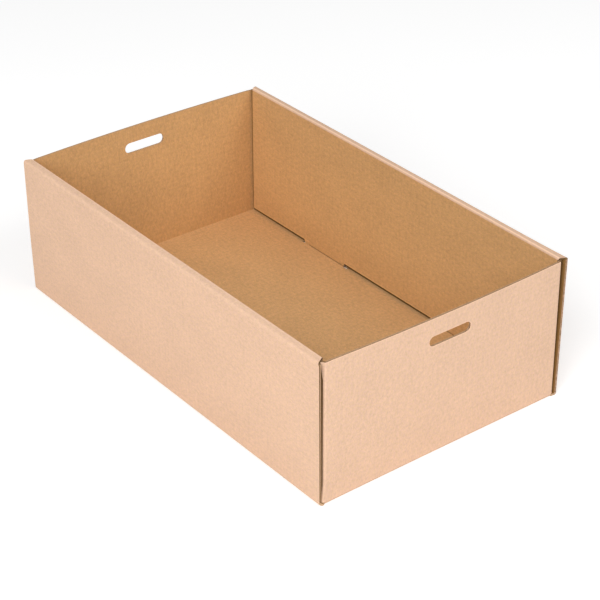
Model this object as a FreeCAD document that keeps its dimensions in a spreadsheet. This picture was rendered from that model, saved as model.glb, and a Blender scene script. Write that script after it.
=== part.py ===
import FreeCAD, Part
import enum
import math
import os
import Sketcher

# Cardboard tray, folded from one sheet of corrugated board.
# Millimetres. X runs along the tray, Y across it, Z up.
# The origin is the middle of the underside.
# One quarter of the tray is modelled where X and Y are positive, and mirrored twice.

NODE = "folded_tray"

# Driving dimensions: name, size, meaning
SIZES = (
    ("tray_length", 650.0, "over the outer faces of the end panels"),
    ("tray_width", 392.0, "over the outer faces of the long walls, at the bottom folds"),
    ("tray_height", 205.0, "from the underside to the top of the rolled rims"),
    ("board", 3.0, "thickness of the corrugated board"),
    ("bend", 0.4, "inside radius of every fold"),
    ("ply_gap", 0.2, "gap between two plies of a long wall, at the bottom fold"),
    ("rim_spread", 2.0, "how far a long wall leans out at its rim"),
    ("foot_gap", 5.4, "inner panel's lower edge above the floor"),
    ("panel_end_gap", 1.4, "inner panel's end to the end panel's inner face"),
    ("end_drop", 1.5, "end panel's top edge below the rims"),
    ("shoulder_drop", 2.6, "fall of the end panel's top edge towards its side folds"),
    ("shoulder_run", 8.0, "length of that fall"),
    ("corner_slit", 0.6, "slit between the end fold and the wall's corner"),
    ("flap_length", 105.0, "corner flap, from its fold to its free edge"),
    ("flap_taper", 4.0, "fall of the flap's upper and lower edge over its length"),
    ("flap_foot_gap", 1.5, "flap's lower edge above the floor"),
    ("hole_length", 66.5, "hand hole, over its round ends"),
    ("hole_height", 15.0, "hand hole, from its lower to its upper edge"),
    ("hole_corner", 6.5, "corner radius of the hand hole"),
    ("hole_drop", 25.5, "hand hole's upper edge below the end panel's top edge"),
    ("tab_length", 94.0, "locking tab, at the inner panel's lower edge"),
    ("tab_taper", 3.0, "each side of the tab draws in by this towards its foot"),
    ("tab_rise", 0.5, "tab's foot above the underside of the floor"),
    ("tab_centre", 148.5, "middle of a tab, from the middle of the tray"),
    ("slot_end_gap", 5.5, "floor slot's end beyond the tab's end"),
    ("slot_side_gap", 0.5, "floor slot's side beyond the tab's face"),
)

# Places worked out from the driving dimensions, as formulas
FOLD = "(Sizes.board + Sizes.bend)"
HALF_LENGTH = "(Sizes.tray_length / 2)"
HALF_WIDTH = "(Sizes.tray_width / 2)"
END_FOLD_X = f"({HALF_LENGTH} - {FOLD})"
WALL_FOLD_Y = f"({HALF_WIDTH} - {FOLD})"
RIM_FOLD_Y = f"({HALF_WIDTH} + Sizes.rim_spread - {FOLD})"
RIM_FOLD_Z = f"(Sizes.tray_height - {FOLD})"
PANEL_FACE_Y = f"({HALF_WIDTH} - 3 * Sizes.board - 2 * Sizes.ply_gap)"
PANEL_BACK_Y = f"({PANEL_FACE_Y} + Sizes.board)"
PANEL_FOLD_Y = f"({PANEL_FACE_Y} + {FOLD})"
PANEL_FOOT_Z = "(Sizes.board + Sizes.foot_gap)"
PANEL_END_X = f"({HALF_LENGTH} - Sizes.board - Sizes.panel_end_gap)"
FLAP_FACE_Y = f"({HALF_WIDTH} - Sizes.board - Sizes.ply_gap)"
CORNER_FOLD_Y = f"({FLAP_FACE_Y} - {FOLD})"
END_TOP_Z = "(Sizes.tray_height - Sizes.end_drop)"
SHOULDER_Z = f"({END_TOP_Z} - Sizes.shoulder_drop)"
SHOULDER_Y = f"({CORNER_FOLD_Y} - Sizes.shoulder_run)"
FLAP_FOOT_Z = "(Sizes.board + Sizes.flap_foot_gap)"
FLAP_TIP_X = f"({END_FOLD_X} - Sizes.flap_length)"
TAB_LOW_X = "(Sizes.tab_centre - Sizes.tab_length / 2)"
TAB_HIGH_X = "(Sizes.tab_centre + Sizes.tab_length / 2)"
HOLE_HALF = "(Sizes.hole_length / 2)"
HOLE_HIGH_Z = f"({END_TOP_Z} - Sizes.hole_drop)"
HOLE_LOW_Z = f"({HOLE_HIGH_Z} - Sizes.hole_height)"

# A sketch's own fixed elements
ORIGIN = -1
LEVEL_AXIS = -1
UPRIGHT_AXIS = -2


class Point(enum.IntEnum):
    """Which point of a sketch's edge is meant."""

    START = 1
    END = 2
    CENTRE = 3


def value(formula):
    """Give a formula's present value as a number."""
    return float(body.evalExpression(formula))


def vector(across, up):
    """Give a sketch point from two formulas or numbers."""
    return FreeCAD.Vector(number(across), number(up), 0)


def number(size):
    """Give a number as it is, and a formula as its present value."""
    if isinstance(size, str):
        return value(size)
    return size


def new_sketch(name, plane_role, offset="0"):
    """Add a sketch on one of the body's own origin planes, moved along its normal."""
    sketch = body.newObject("Sketcher::SketchObject", name)
    plane = next(item for item in body.Origin.OriginFeatures if item.Role == plane_role)
    sketch.AttachmentSupport = [(plane, "")]
    sketch.MapMode = "FlatFace"
    sketch.setExpression("AttachmentOffset.Base.z", offset)
    return sketch


def size_constraint(sketch, kind, elements, formula):
    """Add a dimension whose size is the formula."""
    index = sketch.addConstraint(Sketcher.Constraint(kind, *elements, value(formula)))
    sketch.setExpression(f"Constraints[{index}]", formula)


def locate(sketch, kind, edge, end, formula):
    """Place an edge's end at a distance from the origin along one axis."""
    if value(formula) == 0:
        axis = UPRIGHT_AXIS if kind == "DistanceX" else LEVEL_AXIS
        sketch.addConstraint(Sketcher.Constraint("PointOnObject", edge, end, axis))
    else:
        size_constraint(sketch, kind, (ORIGIN, Point.START, edge, end), formula)


def draw_polygon(sketch, corners):
    """Draw a closed outline. Neighbours with the same formula are joined level or upright."""
    count = len(corners)
    points = [vector(*corner) for corner in corners]
    for index in range(count):
        sketch.addGeometry(Part.LineSegment(points[index], points[(index + 1) % count]))
    for index in range(count):
        join = Sketcher.Constraint("Coincident", index, Point.END, (index + 1) % count, Point.START)
        sketch.addConstraint(join)
    for index, (across, up) in enumerate(corners):
        before = corners[index - 1] if index else (None, None)
        if across == before[0]:
            sketch.addConstraint(Sketcher.Constraint("Vertical", index - 1))
        else:
            locate(sketch, "DistanceX", index, Point.START, across)
        if up == before[1]:
            sketch.addConstraint(Sketcher.Constraint("Horizontal", index - 1))
        else:
            locate(sketch, "DistanceY", index, Point.START, up)


def add_arc(sketch, centre, radius, start_angle, end_angle):
    """Add an arc by its centre, radius and angles, without constraints."""
    circle = Part.Circle(centre, FreeCAD.Vector(0, 0, 1), radius)
    return sketch.addGeometry(Part.ArcOfCircle(circle, start_angle, end_angle))


def draw_fold(sketch, across, up, start_angle):
    """Draw a fold's section: a quarter ring of the board's thickness, from 0 or -90 degrees."""
    centre = vector(across, up)
    turn = math.radians(start_angle)
    outer = add_arc(sketch, centre, value(FOLD), turn, turn + math.pi / 2)
    inner = add_arc(sketch, centre, value("Sizes.bend"), turn, turn + math.pi / 2)
    locate(sketch, "DistanceX", outer, Point.CENTRE, across)
    locate(sketch, "DistanceY", outer, Point.CENTRE, up)
    sketch.addConstraint(Sketcher.Constraint("Coincident", inner, Point.CENTRE, outer, Point.CENTRE))
    size_constraint(sketch, "Radius", (outer,), FOLD)
    size_constraint(sketch, "Radius", (inner,), "Sizes.bend")
    first, second = ("Horizontal", "Vertical") if start_angle == 0 else ("Vertical", "Horizontal")
    for arc in (outer, inner):
        sketch.addConstraint(Sketcher.Constraint(first, arc, Point.START, arc, Point.CENTRE))
        sketch.addConstraint(Sketcher.Constraint(second, arc, Point.END, arc, Point.CENTRE))
    for end in (Point.START, Point.END):
        line = Part.LineSegment(arc_end(sketch, inner, end), arc_end(sketch, outer, end))
        edge = sketch.addGeometry(line)
        sketch.addConstraint(Sketcher.Constraint("Coincident", edge, Point.START, inner, end))
        sketch.addConstraint(Sketcher.Constraint("Coincident", edge, Point.END, outer, end))


def arc_end(sketch, arc, end):
    """Give the place of an arc's start or end."""
    curve = sketch.Geometry[arc]
    return curve.StartPoint if end == Point.START else curve.EndPoint


def add_pad(name, sketch, length, reverse=False):
    """Thicken a sketch into board by a length."""
    pad = body.newObject("PartDesign::Pad", name)
    pad.Profile = sketch
    pad.setExpression("Length", length)
    pad.Reversed = reverse
    return pad


def add_pocket(name, sketch, depth, reverse=False):
    """Cut a sketch out of the board to a depth."""
    pocket = body.newObject("PartDesign::Pocket", name)
    pocket.Profile = sketch
    pocket.setExpression("Length", depth)
    pocket.Reversed = reverse
    return pocket


def draw_long_wall(sketch):
    """Draw a long wall's section: bottom fold, outer wall, rolled rim and inner panel."""
    outer, inner = value(FOLD), value("Sizes.bend")
    lean = math.atan2(value("Sizes.rim_spread"), value(f"{RIM_FOLD_Z} - {FOLD}"))
    low = vector(WALL_FOLD_Y, FOLD)
    high = vector(RIM_FOLD_Y, RIM_FOLD_Z)
    turn = vector(PANEL_FOLD_Y, RIM_FOLD_Z)
    quarter = math.pi / 2

    # Three folds, each an outer and an inner arc about one centre
    low_out = add_arc(sketch, low, outer, -quarter, -lean)
    high_out = add_arc(sketch, high, outer, -lean, quarter)
    turn_out = add_arc(sketch, turn, outer, quarter, 2 * quarter)
    turn_in = add_arc(sketch, turn, inner, quarter, 2 * quarter)
    high_in = add_arc(sketch, high, inner, -lean, quarter)
    low_in = add_arc(sketch, low, inner, -quarter, -lean)

    # Straight runs between the folds, from the outer wall to the inner panel's back
    def run(first, first_end, second, second_end):
        points = arc_end(sketch, first, first_end), arc_end(sketch, second, second_end)
        edge = sketch.addGeometry(Part.LineSegment(*points))
        sketch.addConstraint(Sketcher.Constraint("Tangent", edge, Point.START, first, first_end))
        sketch.addConstraint(Sketcher.Constraint("Tangent", edge, Point.END, second, second_end))
        return edge

    run(low_out, Point.END, high_out, Point.START)
    rim_top = run(high_out, Point.END, turn_out, Point.START)
    run(turn_in, Point.START, high_in, Point.END)
    run(high_in, Point.START, low_in, Point.END)

    # The inner panel hangs straight down to its foot
    foot_face = vector(PANEL_FACE_Y, PANEL_FOOT_Z)
    foot_back = vector(PANEL_BACK_Y, PANEL_FOOT_Z)
    face = sketch.addGeometry(Part.LineSegment(arc_end(sketch, turn_out, Point.END), foot_face))
    foot = sketch.addGeometry(Part.LineSegment(foot_face, foot_back))
    back = sketch.addGeometry(Part.LineSegment(foot_back, arc_end(sketch, turn_in, Point.END)))
    sketch.addConstraint(Sketcher.Constraint("Tangent", turn_out, Point.END, face, Point.START))
    sketch.addConstraint(Sketcher.Constraint("Coincident", face, Point.END, foot, Point.START))
    sketch.addConstraint(Sketcher.Constraint("Coincident", foot, Point.END, back, Point.START))
    sketch.addConstraint(Sketcher.Constraint("Tangent", back, Point.END, turn_in, Point.END))

    # The section closes where the bottom fold meets the floor
    joint_ends = arc_end(sketch, low_in, Point.START), arc_end(sketch, low_out, Point.START)
    joint = sketch.addGeometry(Part.LineSegment(*joint_ends))
    sketch.addConstraint(Sketcher.Constraint("Coincident", joint, Point.START, low_in, Point.START))
    sketch.addConstraint(Sketcher.Constraint("Coincident", joint, Point.END, low_out, Point.START))

    for outside, inside in ((low_out, low_in), (high_out, high_in), (turn_out, turn_in)):
        same_centre = Sketcher.Constraint("Coincident", inside, Point.CENTRE, outside, Point.CENTRE)
        sketch.addConstraint(same_centre)
        size_constraint(sketch, "Radius", (outside,), FOLD)
        size_constraint(sketch, "Radius", (inside,), "Sizes.bend")
    for arc in (low_out, low_in):
        sketch.addConstraint(Sketcher.Constraint("Vertical", arc, Point.START, arc, Point.CENTRE))
    for edge in (face, back):
        sketch.addConstraint(Sketcher.Constraint("Vertical", edge))
    for edge in (rim_top, foot):
        sketch.addConstraint(Sketcher.Constraint("Horizontal", edge))
    locate(sketch, "DistanceX", low_out, Point.CENTRE, WALL_FOLD_Y)
    locate(sketch, "DistanceY", low_out, Point.CENTRE, FOLD)
    locate(sketch, "DistanceX", high_out, Point.CENTRE, RIM_FOLD_Y)
    locate(sketch, "DistanceX", turn_out, Point.CENTRE, PANEL_FOLD_Y)
    locate(sketch, "DistanceY", rim_top, Point.START, "Sizes.tray_height")
    locate(sketch, "DistanceY", foot, Point.START, PANEL_FOOT_Z)


def draw_hand_hole(sketch):
    """Draw the hand hole's outline: a level slot with round corners, middled across the tray."""
    radius = value("Sizes.hole_corner")
    low = value(HOLE_LOW_Z)
    high = value(HOLE_HIGH_Z)
    half = value(HOLE_HALF)
    quarter = math.pi / 2
    corners = (
        (half - radius, high - radius, 0),
        (radius - half, high - radius, quarter),
        (radius - half, low + radius, 2 * quarter),
        (half - radius, low + radius, 3 * quarter),
    )
    arcs = []
    for across, up, angle in corners:
        centre = FreeCAD.Vector(across, up, 0)
        arcs.append(add_arc(sketch, centre, radius, angle, angle + quarter))
    runs = []
    for index, arc in enumerate(arcs):
        following = arcs[(index + 1) % len(arcs)]
        ends = arc_end(sketch, arc, Point.END), arc_end(sketch, following, Point.START)
        edge = sketch.addGeometry(Part.LineSegment(*ends))
        sketch.addConstraint(Sketcher.Constraint("Tangent", arc, Point.END, edge, Point.START))
        sketch.addConstraint(Sketcher.Constraint("Tangent", edge, Point.END, following, Point.START))
        runs.append(edge)
    upper, left, lower, right = runs
    sketch.addConstraint(Sketcher.Constraint("Horizontal", lower))
    for edge in (left, right):
        sketch.addConstraint(Sketcher.Constraint("Vertical", edge))
    for arc in arcs[1:]:
        sketch.addConstraint(Sketcher.Constraint("Equal", arcs[0], arc))
    size_constraint(sketch, "Radius", (arcs[0],), "Sizes.hole_corner")
    middled = Sketcher.Constraint("Symmetric", upper, Point.START, upper, Point.END, UPRIGHT_AXIS)
    sketch.addConstraint(middled)
    locate(sketch, "DistanceX", right, Point.START, HOLE_HALF)
    locate(sketch, "DistanceY", upper, Point.START, HOLE_HIGH_Z)
    locate(sketch, "DistanceY", lower, Point.START, HOLE_LOW_Z)


def mirror_body(name, plane_role):
    """Add the whole body's mirror image in one of its origin planes."""
    mirror = body.newObject("PartDesign::Mirrored", name)
    plane = next(item for item in body.Origin.OriginFeatures if item.Role == plane_role)
    mirror.TransformMode = "Whole shape"
    mirror.MirrorPlane = (plane, [""])
    body.Tip = mirror
    return mirror


document = FreeCAD.newDocument("CardboardTray")

# Spreadsheet with the driving dimensions
sheet = document.addObject("Spreadsheet::Sheet", "Sizes")
for row, (alias, size, meaning) in enumerate(SIZES, start=1):
    sheet.set(f"A{row}", meaning)
    sheet.set(f"B{row}", str(size))
    sheet.setAlias(f"B{row}", alias)
document.recompute()

body = document.addObject("PartDesign::Body", "FoldedTray")
body.Label = NODE

# Floor, with an ear at the corner that carries the long wall past the end fold
sketch = new_sketch("FloorOutline", "XY_Plane")
ear_y = f"({CORNER_FOLD_Y} + Sizes.corner_slit)"
floor_corners = (
    ("0", "0"),
    (END_FOLD_X, "0"),
    (END_FOLD_X, ear_y),
    (HALF_LENGTH, ear_y),
    (HALF_LENGTH, WALL_FOLD_Y),
    ("0", WALL_FOLD_Y),
)
draw_polygon(sketch, floor_corners)
add_pad("Floor", sketch, "Sizes.board")

# Long wall: outer wall, rolled rim and inner panel in one section
sketch = new_sketch("LongWallSection", "YZ_Plane")
draw_long_wall(sketch)
add_pad("LongWall", sketch, HALF_LENGTH)

# The inner panel stops short of the end panel, and the rim's end slants out to the outer wall
panel_side_y = f"({PANEL_BACK_Y} + Sizes.ply_gap / 2)"
beyond_end_x = f"({HALF_LENGTH} + Sizes.board)"
sketch = new_sketch("PanelEndTrim", "XY_Plane", "Sizes.tray_height")
trim_corners = (
    (PANEL_END_X, f"({PANEL_FACE_Y} - Sizes.board)"),
    (beyond_end_x, f"({PANEL_FACE_Y} - Sizes.board)"),
    (beyond_end_x, panel_side_y),
    (PANEL_END_X, panel_side_y),
)
draw_polygon(sketch, trim_corners)
add_pocket("PanelEnd", sketch, "Sizes.tray_height - Sizes.board - Sizes.foot_gap / 2")
sketch = new_sketch("RimEndSlant", "XY_Plane", "Sizes.tray_height")
slant_corners = (
    (PANEL_END_X, panel_side_y),
    (beyond_end_x, panel_side_y),
    (beyond_end_x, RIM_FOLD_Y),
    (HALF_LENGTH, RIM_FOLD_Y),
)
draw_polygon(sketch, slant_corners)
add_pocket("RimEnd", sketch, FOLD)

# End panel, on its bottom fold
sketch = new_sketch("EndFoldSection", "XZ_Plane")
draw_fold(sketch, END_FOLD_X, FOLD, -90)
add_pad("EndFold", sketch, CORNER_FOLD_Y, reverse=True)
sketch = new_sketch("EndPanelOutline", "YZ_Plane", f"{HALF_LENGTH} - Sizes.board")
end_corners = (
    ("0", FOLD),
    (CORNER_FOLD_Y, FOLD),
    (CORNER_FOLD_Y, SHOULDER_Z),
    (SHOULDER_Y, END_TOP_Z),
    ("0", END_TOP_Z),
)
draw_polygon(sketch, end_corners)
add_pad("EndPanel", sketch, "Sizes.board")

# Corner flap, folded back between the long wall's two plies
sketch = new_sketch("CornerFoldSection", "XY_Plane", FLAP_FOOT_Z)
draw_fold(sketch, END_FOLD_X, CORNER_FOLD_Y, 0)
add_pad("CornerFold", sketch, f"{SHOULDER_Z} - {FLAP_FOOT_Z}")
sketch = new_sketch("CornerFlapOutline", "XZ_Plane", f"-{FLAP_FACE_Y}")
flap_corners = (
    (END_FOLD_X, FLAP_FOOT_Z),
    (END_FOLD_X, SHOULDER_Z),
    (FLAP_TIP_X, f"({SHOULDER_Z} - Sizes.flap_taper)"),
    (FLAP_TIP_X, f"({FLAP_FOOT_Z} + Sizes.flap_taper)"),
)
draw_polygon(sketch, flap_corners)
add_pad("CornerFlap", sketch, "Sizes.board")

# Floor slot, and the inner panel's tab standing in it
sketch = new_sketch("SlotOutline", "XY_Plane")
slot_corners = (
    (f"({TAB_LOW_X} - Sizes.slot_end_gap)", f"({PANEL_FACE_Y} - Sizes.slot_side_gap)"),
    (f"({TAB_HIGH_X} + Sizes.slot_end_gap)", f"({PANEL_FACE_Y} - Sizes.slot_side_gap)"),
    (f"({TAB_HIGH_X} + Sizes.slot_end_gap)", f"({PANEL_BACK_Y} + Sizes.slot_side_gap)"),
    (f"({TAB_LOW_X} - Sizes.slot_end_gap)", f"({PANEL_BACK_Y} + Sizes.slot_side_gap)"),
)
draw_polygon(sketch, slot_corners)
add_pocket("Slot", sketch, "Sizes.board", reverse=True)
sketch = new_sketch("TabOutline", "XZ_Plane", f"-{PANEL_FACE_Y}")
tab_corners = (
    (TAB_LOW_X, PANEL_FOOT_Z),
    (TAB_HIGH_X, PANEL_FOOT_Z),
    (f"({TAB_HIGH_X} - Sizes.tab_taper)", "Sizes.tab_rise"),
    (f"({TAB_LOW_X} + Sizes.tab_taper)", "Sizes.tab_rise"),
)
draw_polygon(sketch, tab_corners)
add_pad("Tab", sketch, "Sizes.board", reverse=True)

# The other three quarters
document.recompute()
mirror_body("OtherEnd", "YZ_Plane")
document.recompute()
mirror_body("OtherSide", "XZ_Plane")
document.recompute()

# Hand holes through both end panels
sketch = new_sketch("HandHoleOutline", "YZ_Plane")
draw_hand_hole(sketch)
hand_holes = add_pocket("HandHoles", sketch, "Sizes.tray_length")
hand_holes.Midplane = True
hand_holes.Type = "ThroughAll"
document.recompute()

# Nothing is written unless every object is sound and the tray is one solid
for item in document.Objects:
    if "Invalid" in item.State or "Error" in item.State:
        raise RuntimeError(f"{item.Label} failed: {item.State}")
if body.Shape.isNull() or not body.Shape.isValid():
    raise RuntimeError(f"{body.Label} has no valid shape")
if len(body.Shape.Solids) != 1:
    raise RuntimeError(f"{body.Label} is {len(body.Shape.Solids)} solids")

os.makedirs("parts", exist_ok=True)
body.Shape.exportStep(os.path.join("parts", f"{NODE}.step"))
box = body.Shape.BoundBox
print(f"{NODE}: {box.XLength:.2f} x {box.YLength:.2f} x {box.ZLength:.2f} mm,"
      f" {body.Shape.Volume / 1000:.1f} cm3, {len(body.Shape.Faces)} faces")
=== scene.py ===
import logging
import math
from contextlib import contextmanager
from dataclasses import dataclass
from enum import Enum
from typing import Callable, Iterator, Sequence

import bmesh
import bpy
from mathutils import Matrix, Vector


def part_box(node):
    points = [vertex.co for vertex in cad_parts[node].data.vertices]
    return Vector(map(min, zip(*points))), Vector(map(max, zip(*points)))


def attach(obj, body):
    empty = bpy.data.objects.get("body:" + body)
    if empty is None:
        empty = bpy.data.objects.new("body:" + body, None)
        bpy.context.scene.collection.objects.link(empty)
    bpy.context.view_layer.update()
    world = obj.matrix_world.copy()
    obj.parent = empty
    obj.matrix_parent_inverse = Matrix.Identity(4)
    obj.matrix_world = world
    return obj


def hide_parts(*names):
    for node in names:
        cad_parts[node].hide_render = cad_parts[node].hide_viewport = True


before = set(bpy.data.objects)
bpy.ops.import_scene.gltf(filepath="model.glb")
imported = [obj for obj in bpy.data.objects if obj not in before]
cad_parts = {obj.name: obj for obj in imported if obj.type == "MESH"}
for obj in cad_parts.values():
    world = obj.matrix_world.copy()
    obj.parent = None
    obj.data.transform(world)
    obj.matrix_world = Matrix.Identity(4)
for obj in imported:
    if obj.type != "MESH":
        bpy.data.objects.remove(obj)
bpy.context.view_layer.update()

# Cardboard tray: one sheet of corrugated board, die-cut flat, folded and dressed.
# Metres. X runs along the tray, Y across it, Z up, and the origin is the middle of the underside.
# The sheet is cut lying flat, with its outer liner underneath. A place on the flat sheet is
# "along" X and "out" along Y, both from the middle, so one pair of numbers serves all four corners.

NODE = "folded_tray"
BODY = "root"
NEAR = 1e-5
QUARTERS = ((1, 1), (-1, 1), (1, -1), (-1, -1))

LOG = logging.getLogger("tray")

Place = Vector
Test = Callable[[Place], bool]
Socket = bpy.types.NodeSocket
Element = bmesh.types.BMVert | bmesh.types.BMEdge | bmesh.types.BMFace


class Pick(Enum):
    """What an edit-mode selection is made of."""

    POINTS = "VERT"
    EDGES = "EDGE"
    FACES = "FACE"


class Finish(Enum):
    """The tray's material slots, in order."""

    OUTER_LINER = 0
    # The same kraft as the outer liner, painted darker and deeper: painted shade for the inside of the tray.
    INNER_LINER = 1
    RAW_EDGE = 2
    # Painted shade: a dark brown in the open edges' flute channels and on the rims' cut ends.
    FLUTES = 3
    # Painted shade: the inner panels' faces and the end panels' inner faces, darker than the same liner
    # outside.
    PANEL_LINER = 4
    # Painted shade: a near black-brown for what is shut between the plies and the floor under the inner
    # panels, seen only through gaps.
    HIDDEN_LINER = 5
    CRUSHED_EDGE = 6


def take_up(piece: bpy.types.Object) -> None:
    """Select one piece, make it the active one and deselect everything else.

    Args:
        piece: the piece to work on.
    """
    bpy.ops.object.select_all(action="DESELECT")
    piece.select_set(True)
    bpy.context.view_layer.objects.active = piece


@contextmanager
def on_the_bench(piece: bpy.types.Object) -> Iterator[None]:
    """Open one piece in edit mode, with everything else deselected.

    Args:
        piece: the mesh to work on.
    """
    take_up(piece)
    bpy.ops.object.mode_set(mode="EDIT")
    yield
    bpy.ops.object.mode_set(mode="OBJECT")


def pick(piece: bpy.types.Object, what: Pick, test: Callable[[Element], bool]) -> None:
    """Select, in edit mode, only the points, edges or faces that pass a test.

    Args:
        piece: the mesh being worked on.
        what: points, edges or faces.
        test: takes the point, edge or face itself.
    """
    bpy.ops.mesh.select_mode(type=what.value)
    bpy.ops.mesh.select_all(action="DESELECT")
    mesh = bmesh.from_edit_mesh(piece.data)
    elements = {Pick.POINTS: mesh.verts, Pick.EDGES: mesh.edges, Pick.FACES: mesh.faces}
    for element in elements[what]:
        element.select_set(test(element))
    mesh.select_flush_mode()
    bmesh.update_edit_mesh(piece.data)


def pick_points(piece: bpy.types.Object, test: Test) -> None:
    """Select, in edit mode, only the points whose place passes a test."""
    pick(piece, Pick.POINTS, lambda point: test(point.co))


def pick_faces(piece: bpy.types.Object, test: Test) -> None:
    """Select, in edit mode, only the faces whose middle passes a test."""
    pick(piece, Pick.FACES, lambda face: test(face.calc_center_median()))


def set_finish(piece: bpy.types.Object, finish: Finish, test: Callable[[Element], bool]) -> None:
    """Give the faces that pass a test another finish, in edit mode.

    Args:
        piece: the mesh being worked on.
        finish: the new finish.
        test: takes the face itself.
    """
    mesh = bmesh.from_edit_mesh(piece.data)
    for face in mesh.faces:
        if test(face):
            face.material_index = finish.value
    bmesh.update_edit_mesh(piece.data)


def apply_modifier(piece: bpy.types.Object, kind: str, **settings: object) -> None:
    """Add one modifier to a piece, set it and apply it.

    Args:
        piece: the mesh to change.
        kind: the modifier's type.
        settings: its properties by name.
    """
    take_up(piece)
    modifier = piece.modifiers.new(kind.title(), kind)
    for name, setting in settings.items():
        setattr(modifier, name, setting)
    bpy.ops.object.modifier_apply(modifier=modifier.name)


def within(number: float, low: float, high: float) -> bool:
    """Say whether a number lies between two others, give or take a hundredth of a millimetre."""
    return low - NEAR <= number <= high + NEAR


def ramp(number: float, start: float, end: float) -> float:
    """Rise evenly from 0 at a start to 1 at an end, held at both."""
    return min(1.0, max(0.0, (number - start) / (end - start)))


def first_quarter(c: Place) -> Place:
    """Give a place's mirror image in the first quarter of the sheet."""
    return Vector((abs(c.x), abs(c.y), c.z))


def turn(angle: float, axis: str, centre: Vector) -> None:
    """Rotate the selection about an axis through a centre, right-handed, in radians."""
    bpy.ops.transform.rotate(value=-angle, orient_axis=axis, center_override=centre)


def discard(piece: bpy.types.Object) -> None:
    """Remove a helper object and its mesh.

    Args:
        piece: the helper.
    """
    mesh = piece.data
    bpy.data.objects.remove(piece)
    bpy.data.meshes.remove(mesh)


@dataclass(frozen=True)
class Board:
    """Single-wall board with small flutes: its plies and the wave between them."""

    thickness: float = 0.003
    liner: float = 0.00038
    pitch: float = 0.00645
    medium: float = 0.00024
    fold_radius: float = 0.0033
    edge_depth: float = 0.0014
    wave_steps: int = 8

    @property
    def swing(self) -> float:
        """How far the wave swings from the middle of the board."""
        return self.thickness / 2 - self.liner - self.medium / 2


@dataclass(frozen=True)
class HandHole:
    """The slot with round ends through one end panel."""

    end: int
    middle: float
    length: float
    low: float
    high: float
    segments: int = 8
    roundness: float = 0.98

    @property
    def height(self) -> float:
        """The hole's height."""
        return self.high - self.low

    @property
    def level(self) -> float:
        """The height of the hole's middle."""
        return (self.high + self.low) / 2

    def holds(self, c: Place, margin: float = 0.0) -> bool:
        """Say whether a place on the folded tray is inside the hole's outline.

        Args:
            c: the place.
            margin: how much larger than the hole the outline is, all round.

        Returns:
            True inside it, at the hole's own end of the tray.
        """
        beside = max(0.0, abs(c.y - self.middle) - (self.length - self.height) / 2)
        at_end = c.x * self.end > 0
        return at_end and math.hypot(beside, c.z - self.level) < self.height / 2 + margin


HOLES = (
    HandHole(end=1, middle=0.0019, length=0.0668, low=0.1627, high=0.1767),
    HandHole(end=-1, middle=-0.0010, length=0.0658, low=0.1629, high=0.1785),
)


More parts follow.
